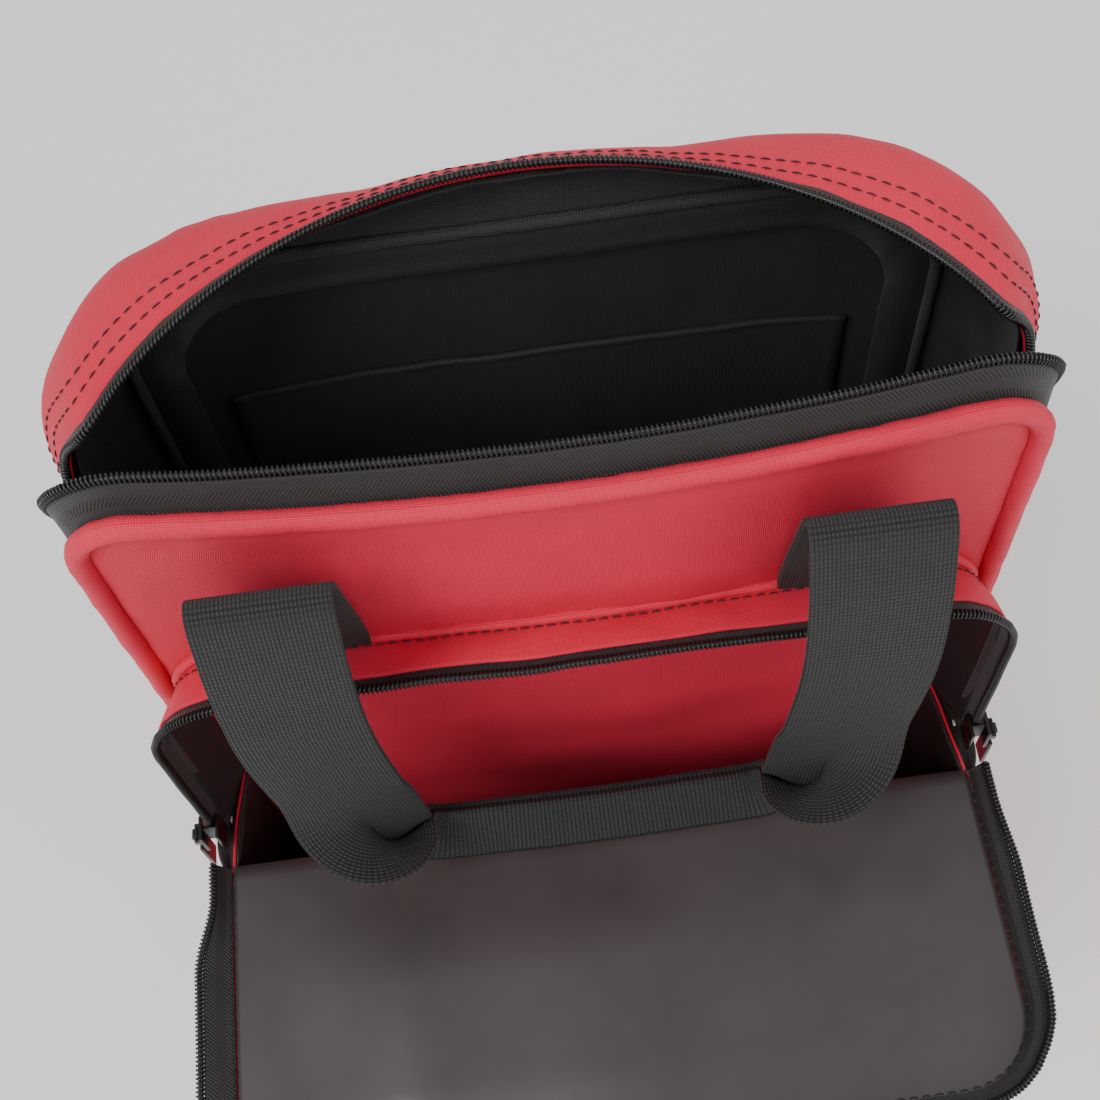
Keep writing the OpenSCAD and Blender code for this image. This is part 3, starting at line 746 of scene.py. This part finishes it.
line = stations(2.2)
vs = np.concatenate([np.linspace(0, 0.2, 7)[:-1], np.linspace(0.2, 1, 18)])
skin = gusset_points(line, vs)
gusset_out = facing(grid_normals(skin), skin - MIDDLE)
edge = np.minimum(vs, 1 - vs)[None]
folds = 1.9 * smooth(edge / 0.25) * fbm(skin * np.array((1, 1, 0.5)), 0.016, 21.0)
folds += 0.45 * np.exp(-((vs[None] - 0.16) / 0.08) ** 2) * fbm(skin, 0.085, 23.0)
folds -= 1.0 * np.exp(-(1 - vs[None]) / 0.03)
skin = skin + gusset_out * folds[..., None]
cloth("gusset_fabric", skin, 1.6, "red", "bag", "red_nylon",
      "side_gusset_left", "side_gusset_right", "top_gusset", side=1.0)

stitch_up = facing(grid_normals(skin), gusset_out)
sewn = line[:, 2] > ZIP_FOOT + 4
for name, reach in (("gusset_stitch_near", 0.11), ("gusset_stitch_far", 0.21)):
    col = np.interp(reach, vs, np.arange(len(vs)))
    lo = int(col)
    row = mix(skin[:, lo], skin[:, lo + 1], col - lo)
    up = mix(stitch_up[:, lo], stitch_up[:, lo + 1], col - lo)
    place(stitches(name, row[sewn], up[sewn]), "thread", "bag", "red_nylon")


# ---- The main zip -----------------------------------------------------------------------------------
TAPE_REACH = 11.4


def front_zip_path(step=2.0):
    """The front half's path: its base line, the way its tape leans, the way outwards and the tape's reach."""
    x, z = arch_path(HALF + 1.6, ZIP_FOOT, RIM - 2.4, FRONT_R + 1.6, step).T
    corner = RIM - PIPE - FRONT_R
    dx = x - np.sign(x) * np.minimum(np.abs(x), HALF - FRONT_R)
    out = unit(np.column_stack([np.where(z > corner, dx, np.sign(x)), 0 * x, np.maximum(z - corner, 0)]))
    opened = smooth((z - MOUTH_Z) / 36)
    tip = np.radians((32 + 34 * smooth(out[:, 2])) * opened)
    lean = np.cos(tip)[:, None] * np.array((0, 1.0, 0)) + np.sin(tip)[:, None] * out
    return front_points(x, z, 4.3), lean, out, (TAPE_REACH - 0.9 * opened)[:, None]


base, lean, out, reach = front_zip_path()
wave = 0.5 * fbm(base, 0.02, 31.0)[:, None]
tape_up = facing(unit(np.cross(np.gradient(base, axis=0), lean)), out)
rows = [base + lean * r * reach / TAPE_REACH + tape_up * (wave * r / 10) for r in np.linspace(-1.5, 9.9, 9)]
cloth("main_tape_front", np.stack(rows, 1), 0.7, "tape", "bag", "zip_tape", "main_zip_tape_front")
zip_coil("main_coil_front", base + lean * reach + tape_up * wave, lean, tape_up, "bag", "main_zip_coil_front")

zipped = line[:, 2] >= ZIP_FOOT
teeth = line[zipped][:, :3]
toward = unit(skin[zipped][:, 3] - teeth)
zip_up = facing(unit(np.cross(unit(np.gradient(teeth, axis=0)), toward)), teeth - MIDDLE)
rows = [teeth + toward * r - zip_up * 0.9 * smooth((r - 0.5) / 3) for r in np.linspace(1.0, 10.0, 8)]
cloth("main_tape_back", np.stack(rows, 1), 0.7, "tape", "bag", "zip_tape", "main_zip_tape_back")
zip_coil("main_coil_back", teeth, toward, zip_up, "bag", "main_zip_coil_back")


# ---- Low side patches and the base ------------------------------------------------------------------
for side, node in ((-1, "side_gusset_left"), (1, "side_gusset_right")):
    patch = [[(side * (side_x(y) + 0.5), y, z) for y in np.linspace(-42.5, -22.5, 8)]
             for z in np.linspace(2.4, ZIP_FOOT - 1, 24)]
    cloth(node + "_foot", patch, 1.5, "red", "bag", "red_nylon", side=side)

corner_y = CORNER_Y + CORNER_R * np.sin(np.radians(np.linspace(0, 88, 12)))
plan_y = np.concatenate([np.linspace(-43.2, CORNER_Y, 18)[:-1], corner_y])
plan_x = side_x(plan_y) - 1.2
across = np.linspace(-1, 1, 40)
base_rows = [[(x * t, y, 0.9) for t in across] for x, y in zip(plan_x, plan_y)]
cloth("bottom_fabric", base_rows, 1.5, "red", "bag", "red_nylon", "bottom_panel")


# ---- Lining -----------------------------------------------------------------------------------------
LINING_T = 0.5
hood = skin - gusset_out * (4.2 + 0.8 * fbm(skin, 0.03, 41.0)[..., None])
rim = line[:, 3:]
clamped = np.column_stack([np.clip(rim[:, 0], -82, 82), rim[:, 1], np.minimum(rim[:, 2], 378)])
inward = unit(clamped - rim)
tuck = [rim + inward * d + np.array((0, dy, 0)) for d, dy in ((3.5, -7.5), (9.0, -10.6), (20.0, -11.8))]
hood = np.concatenate([hood[:, 2:-1], np.stack(tuck, 1)], 1)
cloth("lining_gusset", hood, LINING_T, "lining", "bag", "black_lining")


def soft_back(x, z):
    p = back_points(x, z, -6.8)
    p[..., 1] -= 1.6 * np.abs(fbm(p * np.array((1, 1, 0.35)), 0.02, 44.0))
    return p


def soft_front(x, z):
    p = front_points(x, z, 6.8)
    p[..., 1] += 1.4 * np.abs(fbm(p * np.array((1, 1, 0.35)), 0.02, 46.0))
    return p


for name, outline, surface, out, seed in (
        ("lining_back", (BACK_HALF - 6, 7, BACK_TOP - 7, 34, 8), soft_back, -1.0, 43.0),
        ("lining_front", (HALF - 5, 7, RIM - PIPE - 2, 16, 8), soft_front, 1.0, 45.0)):
    sheet = thicken(panel(name, outline, surface, out, seed), LINING_T, side=0.0)
    place(sheet, "lining", "bag", "black_lining")
floor_rows = [[(x * t * 0.95, y * 0.92 + 1, 5.4 + 0.5 * math.sin(x * t * 0.06)) for t in across]
              for x, y in zip(plan_x, plan_y)]
cloth("lining_floor", floor_rows, LINING_T, "lining", "bag", "black_lining",
      "floor_lining", "front_lining", "back_lining")

bind_x, bind_z = loop_path(BACK_HALF - 3.5, PANEL_FOOT + 3, BACK_TOP - 4.5, 36, 9, step=2.5).T
binding = tube("lining_binding_back", back_points(bind_x, bind_z, -10.6), 1.9, sides=10, closed=True,
               ripple=0.3, seed=48.0)
place(binding, "webbing_fine", "bag", "black_lining")

PX, PZ = np.meshgrid(np.linspace(-100, 100, 60), np.linspace(150, 350, 50))
slack = 1.5 * smooth((PZ - 250) / 90) * (1 - (PX / 100) ** 2)
inner = np.stack([PX, back_y(PX) - 9.6 - slack, PZ], -1)
inner[..., 1] -= 0.8 * fbm(inner, 0.02, 49.0)
hem = tube("hem", inner[-1] + np.array((0, -0.3, 0)), 1.1, sides=8)
inner_pocket = joined("inner_pocket_fabric", [thicken(grid("pocket", inner), LINING_T, side=0.0), hem])
place(inner_pocket, "lining", "bag", "black_lining", "inner_pocket")


# ---- Front pocket -----------------------------------------------------------------------------------
FOLD_TOP = FOLD_Z + 0.5
ARCH_STEPS = 260


def arch_pair():
    """Matching points of the pocket's seam and of its zip, from the left fold over the top to the right."""
    x, z = spread(arch_path(POCKET_HALF, FOLD_TOP, POCKET_TOP, POCKET_R, 2.0), ARCH_STEPS).T
    zip_x, zip_z = spread(arch_path(131.5, FOLD_TOP, POCKET_TOP + 5, POCKET_R + 5, 2.0), ARCH_STEPS).T
    return front_points(x, z, -0.3), np.column_stack([zip_x, np.full(ARCH_STEPS, POCKET_ZIP_Y), zip_z])


seam, zip_arch = arch_pair()
droop = 1.4 * fbm(zip_arch, 0.014, 51.0)
zip_arch = zip_arch + np.stack([0 * droop, 0.4 * droop, -np.abs(droop) * (zip_arch[:, 2] > 330)], -1)
pocket_out = unit(np.cross(np.gradient(zip_arch, axis=0), unit(zip_arch - seam)))
pocket_out = facing(pocket_out, zip_arch - np.array((0, -60.0, 290.0)))


def band(vs, lift, puff):
    """Rows between the seam, at 0, and the zip, at 1."""
    rows = []
    for v in vs:
        p = mix(seam, zip_arch, v)
        swell = puff * math.sin(math.pi * min(v, 1)) * (0.6 + 0.8 * fbm(p, 0.02, 52.0))
        rows.append(p + pocket_out * (lift + swell)[:, None])
    return np.stack(rows, 1)


cloth("pocket_gusset_fabric", band(np.linspace(0, 0.82, 14), 0.2, 1.5), 0.9, "red", "bag", "red_nylon",
      "pocket_top_gusset")
# The coating inside the pocket's top gusset is painted darker, as painted shade.
cloth("pocket_gusset_coating", band(np.linspace(0.02, 0.80, 10), -0.9, 1.3), 0.3, "coat_shaded", "bag",
      "grey_coating")
cloth("pocket_tape", band(np.linspace(0.66, 0.955, 8), -0.35, 0.6), 0.6, "tape", "bag", "zip_tape",
      "pocket_zip_tape")
zip_coil("pocket_coil", zip_arch, unit(zip_arch - seam), pocket_out, "bag", "pocket_zip_coil", ra=1.3, rb=1.0)

welt_x, welt_z = loop_path(POCKET_HALF + 3, POCKET_FLOOR - 2.2, POCKET_TOP + 3, POCKET_R + 3, 17, step=2.0).T
piping("pocket_welt_cover", front_points(welt_x, welt_z, -1.9), 1.8, 53.0, "pocket_welt")
for name, v in (("pocket_stitch_near", 0.1), ("pocket_stitch_far", 0.26)):
    row = band([v], 1.0, 1.5)[4:-4, 0]
    place(stitches(name, row, pocket_out[4:-4], length=2.7, gap=1.2, r=0.26), "thread", "bag", "red_nylon")


def low_path(w):
    """A pocket's outline below the fold, from its left end down, under and up to its right end."""
    r, corner_z, top = POCKET_FOOT_R, POCKET_FLOOR + POCKET_FOOT_R, FOLD_Z - 0.6
    path = [(-w, z) for z in np.linspace(top, corner_z, 60)]
    path += arc(-w + r, corner_z, r, np.linspace(180, 270, 10)[1:])
    path += [(x, POCKET_FLOOR) for x in np.linspace(-w + r, w - r, 60)[1:]]
    path += arc(w - r, corner_z, r, np.linspace(270, 360, 10)[1:])
    path += [(w, z) for z in np.linspace(corner_z, top, 60)[1:]]
    return np.array(path).T


low_x, low_z = low_path(126.4)
inner_edge = front_points(*low_path(POCKET_HALF), -0.3)
outer_edge = np.column_stack([low_x, np.full(len(low_x), FOLD_Y + 1), low_z])
low_out = unit(np.cross(unit(np.gradient(inner_edge, axis=0)), unit(outer_edge - inner_edge)))
low_out = facing(low_out, inner_edge - np.array((0, -60.0, 150.0)))


def low_band(vs, lift, puff):
    """Rows between the panel, at 0, and the pocket's front wall, at 1."""
    rows = []
    for v in vs:
        p = mix(inner_edge, outer_edge, v)
        swell = puff * math.sin(math.pi * v) * (0.3 + fbm(p, 0.016, 55.0))
        rows.append(p + low_out * (lift + swell)[:, None])
    return np.stack(rows, 1)


cloth("pocket_side_fabric", low_band(np.linspace(0, 1, 12), 0.2, 1.6), 0.9, "red", "bag", "red_nylon",
      "pocket_side_gusset")
# The coating inside the pocket's sides is painted darker, as painted shade.
cloth("pocket_side_coating", low_band(np.linspace(0.02, 0.98, 10), -0.9, 1.6), 0.3, "coat_shaded", "bag",
      "grey_coating")


# ---- The pocket's front wall and its flap, one cloth folded down at the fold ------------------------
WALL_HALF = 127.6
WALL = FOLD_Z - 0.6 - POCKET_FLOOR
FLAP_REACH = 104.0
FLAP_R = 26.0
FOLD_R = 5.1


def flap_outline(s, inset):
    """Half width of the wall and flap at s, the distance up the wall from the floor and out past the fold."""
    w = np.full_like(s, WALL_HALF - inset)
    low = s < POCKET_FOOT_R
    w[low] -= POCKET_FOOT_R - np.sqrt(np.maximum(POCKET_FOOT_R**2 - (POCKET_FOOT_R - s[low]) ** 2, 0))
    over = s - WALL - (FLAP_REACH - FLAP_R)
    far = over > 0
    w[far] -= FLAP_R - np.sqrt(np.maximum(FLAP_R**2 - over[far] ** 2, 0))
    return w


def wall_and_flap(inset, lift, seed=61.0):
    """The cloth's surface. lift moves it towards the pocket's inside on the wall, and up on the flap."""
    round_from = WALL + FLAP_REACH - FLAP_R
    s = np.concatenate([np.linspace(inset, WALL - 8, 60)[:-1], np.linspace(WALL - 8, WALL + 10, 14)[:-1],
                        np.linspace(WALL + 10, round_from, 26)[:-1],
                        round_from + (FLAP_R - inset * 0.6) * np.sin(np.radians(np.linspace(0, 90, 14)))])
    w = flap_outline(s, inset)
    t = np.sin(np.linspace(-np.pi / 2, np.pi / 2, 70)) * 0.5 + np.linspace(-1, 1, 70) * 0.5
    X = w[:, None] * t[None]
    S = np.repeat(s[:, None], len(t), 1)
    angle = np.clip((S - WALL + 4) / 8, 0, 1) * np.pi / 2
    beyond = np.maximum(S - WALL - 4, 0)
    Y = -83.6 - FOLD_R * (1 - np.cos(angle)) - beyond
    Z = POCKET_FLOOR + np.minimum(S, WALL - 4) + FOLD_R * np.sin(angle)
    pts = np.stack([X, Y, Z], -1)
    on_flap = smooth((beyond - 4) / 40)
    edge = smooth((w[:, None] - np.abs(X)) / FLAP_R)
    tip = smooth((WALL + FLAP_REACH - S) / 22)
    waves = fbm(np.stack([X, Y, Z * 0 + 10], -1) * np.array((1.0, 0.32, 1)), 0.0115, seed, 2)
    crease = fbm(np.stack([X, Y, Z * 0 + 40], -1) * np.array((0.9, 0.3, 1)), 0.028, seed + 4, 2)
    ripple = (4.2 * waves + 0.8 * crease) * edge * tip * on_flap
    slack = 1.4 * fbm(pts, 0.012, seed + 7) * smooth(-(S - WALL + 8) / 40) * edge
    pts[..., 1] += np.cos(angle) * (lift + slack)
    pts[..., 2] += np.sin(angle) * (lift + ripple) + 1.8 * on_flap * edge * tip
    return pts


outer_cloth = thicken(grid("pocket_wall_and_flap", wall_and_flap(0.0, -0.2)), 1.0, side=0.0)
blended(outer_cloth, "red", ("pocket_front_wall", "pocket_flap"))
coating = thicken(grid("flap_coating", wall_and_flap(1.2, 1.1)), 0.4, side=0.0)
blended(coating, "coat", ("flap_lining",))


def flap_edge():
    """The flap's edge from the left fold round to the right, as it lies open, and the way out from it."""
    x, z = spread(arch_path(WALL_HALF - 0.2, FOLD_Z + 0.6, FOLD_Z + FLAP_REACH, FLAP_R, 2.0), 240).T
    base = np.column_stack([x, FOLD_Y - (z - FOLD_Z), np.full(len(x), FOLD_Z + 1.2)])
    out = np.cross(unit(np.gradient(base, axis=0)), np.array((0, 0, 1.0)))
    return base, unit(facing(out, base - np.array((0, -130.0, 251))))


flap_base, flap_out = flap_edge()
left = smooth((-flap_base[:, 0] - 60) / 60)
away = smooth((-96 - flap_base[:, 1]) / 26)
flare = np.radians(30 + away * (8 + 22 * left + 7 * fbm(flap_base, 0.02, 63.0)))
width = 8.5 + away * (0.8 + 2.2 * left)
wing = np.sin(flare)[:, None] * flap_out + np.cos(flare)[:, None] * np.array((0, 0, 1.0))
wing_up = unit(np.cross(np.gradient(flap_base, axis=0), wing))
wing_up *= np.sign(wing_up[:, 2:3] + 1e-9)


def wing_band(vs, lift):
    return np.stack([flap_base + wing * (width * v)[:, None] + wing_up * lift for v in vs], 1)


cloth("flap_rim_fabric", wing_band(np.linspace(-0.08, 0.5, 8), -0.5), 0.8, "red", "flap", "red_nylon",
      "flap_rim")
cloth("flap_tape", wing_band(np.linspace(-0.02, 0.88, 12), 0.25), 0.6, "tape", "flap", "zip_tape",
      "flap_zip_tape")
flap_teeth = flap_base + wing * width[:, None]
zip_coil("flap_coil", flap_teeth, wing, wing_up, "flap", "flap_zip_coil", ra=1.3, rb=1.0)

# A web of tape closes each corner between the body's zip and the fold
web_top = [(122.6, -47.0, 251.5), (127.0, -58.0, 251.2), (131.2, -69.5, 250.4), (132.0, -77.0, 248.2),
           (130.2, -83.0, 248.4)]
for side, name in ((-1, "fold_corner_left"), (1, "fold_corner_right")):
    b = dense(web_top, 1.5)
    a = np.linspace((121.9, -46.5, 246.0), (126.2, -83.6, 247.6), len(b))
    web = [mix(a, b, v) - np.array((0, 0, 2.2 * math.sin(math.pi * v))) for v in np.linspace(-0.12, 1, 9)]
    cloth(name, np.stack(web, 1) * np.array((side, 1, 1)), 0.9, "tape", "bag", "zip_tape")
hem_line = flap_base + wing_up * 1.1 + wing * 0.4
hem = stitches("flap_stitch", hem_line[3:-3], wing_up[3:-3], length=2.7, gap=1.3, r=0.24)
place(hem, "thread", "flap", "grey_coating")


# ---- Carry handles ----------------------------------------------------------------------------------
ELBOW_R = 22.0
TURN_X = 42.0


def handle_path(riser, fold, leg, grip):
    """The right half of a strap's middle line, from its sewn foot to the middle of its grip."""
    flat = dense(riser + fold + leg, 2.0)
    on_leg = np.arange(len(flat)) > len(flat) * 0.3
    lean_in = 8.0 * smooth((fold[1][1] - 30 - flat[:, 1]) / 110) * on_leg
    right = [(LEG_X - d, *p) for d, p in zip(lean_in, flat)]
    x0, y0, z0 = right[-1]
    for a in np.radians(np.arange(8, 91, 8)):
        right.append((x0 - ELBOW_R * (1 - math.cos(a)) * 1.05, mix(y0, grip[0], a / (math.pi / 2)),
                      mix(z0, grip[1], math.sin(a))))
    right.append((TURN_X, grip[0], grip[1] - 0.5))
    right += [(x, grip[0], grip[1] - 2.2 * (1 - (x / 40) ** 2)) for x in np.linspace(34, 0, 6)]
    path = resample(dense(right, 2.2), 2.0)
    path[-1, 0] = 0.0
    return smoothed(path, 3)


def handle(name, riser, fold, leg, grip, tilt, seed, nodes):
    """One webbing strap: up a riser, over the fold, down a leg, twisted and folded into the grip.

    riser, fold and leg are (y, z) points, and grip is the grip's (y, z).
    """
    path = handle_path(riser, fold, leg, grip)
    run = unit(np.gradient(path, axis=0))
    run[-1] = (-1, 0, 0)
    s = lengths(path)
    bend_at = s[np.argmin(np.where(s > 80, np.abs(path[:, 2] - leg[-1][1]), 1e9))]
    fold_in = smooth((s - bend_at + 42) / 52)
    # The width runs along X in a leg. A frame carried along the path turns with it into the grip, and the
    # twist then lays the width across the grip, so that the cloth folds in half round its foot.
    width = [np.array((1.0, 0, 0))]
    for i in range(1, len(path)):
        width.append(unit(width[-1] - run[i] * np.dot(width[-1], run[i])))
    width = np.array(width)
    twist = smooth((s - bend_at + 48) / 72) * math.radians(90 - tilt * np.sign(width[-1][2]))
    other = unit(np.cross(width, run))
    other *= np.sign(other[-1][1] * leg[-1][0]) or 1.0
    turned = width * np.cos(twist)[:, None] + other * np.sin(twist)[:, None]
    ref = unit(np.cross(run, turned))
    ref *= -1.0 if ref[-1, 2] < 0 else 1.0
    span = np.linspace(-1, 1, 29)
    phi = (np.radians(83) * fold_in)[:, None]
    flat_part, raised = np.cos(phi) * turned, np.sin(phi) * ref
    pts = np.stack([path + WEBBING / 2 * (t * flat_part + abs(t) * raised) for t in span], 1)
    cup = 1.2 * fbm(path, 0.02, seed) * (1 - fold_in)
    pts += ref[:, None] * (cup[:, None] * (1 - span[None] ** 2))[..., None]
    pts = np.concatenate([pts, pts[-2::-1] * np.array((-1.0, 1, 1))])
    blended(thicken(grid(name, pts), 1.7, side=0.0), "webbing", nodes)


handle("front_handle_webbing",
       [(-52.8, 330), (-53.2, 345), (-54.0, 356), (-57.0, 372), (-61.6, 391), (-65.6, 408)],
       [(-67.6, 416), (-69.6, 421.0), (-72.0, 421.8), (-75.4, 419.6)],
       [(-79.4, 411), (-83.6, 400), (-88.6, 380), (-91.6, 360), (-92.8, 330), (-93.6, 300), (-94.0, 287)],
       (-94.0, 262.0), 38, 71.0, ("front_handle_risers", "front_handle_strap", "front_handle_grip"))
handle("rear_handle_webbing",
       [(55.9, 318), (56.0, 330), (56.6, 345), (57.2, 356)],
       [(58.4, 365), (61.0, 370.2), (65.0, 370.2), (68.0, 365)],
       [(69.4, 350), (69.8, 320), (69.8, 280), (69.8, 230), (69.8, 195)],
       (69.5, 168.0), 3, 73.0, ("rear_handle_risers", "rear_handle_strap", "rear_handle_grip"))


# ---- Sliders, pulls and stops -----------------------------------------------------------------------
def rounded(node, mat, slot, body, width=0.35):
    """The CAD piece again, with its edges rounded."""
    src = bpy.data.objects[node]
    obj = bpy.data.objects.new(node + "_cast", src.data.copy())
    obj.matrix_world = src.matrix_world
    bpy.context.scene.collection.objects.link(obj)
    weld(obj)
    edge = obj.modifiers.new("edge", "BEVEL")
    edge.width = width * MM
    edge.segments = 3
    edge.limit_method = "ANGLE"
    edge.angle_limit = math.radians(40)
    edge.harden_normals = False
    return place(smooth_shaded(apply_all(obj)), mat, body, slot, node)


for side in ("left", "right"):
    for zipper in ("main", "pocket"):
        for part in ("slider", "pull"):
            rounded(f"{zipper}_{part}_{side}", "metal", "zip_metal", f"{zipper}_{part}_{side}")
rounded("main_zip_stops", "metal", "stop_plastic", "bag")
rounded("pocket_zip_stops", "stop", "stop_plastic", "bag", width=0.6)

for node in ("front_padding", "back_padding", "base_padding"):
    pad = bpy.data.objects[node]
    pad.data.materials.clear()
    pad.data.materials.append(M["foam"])
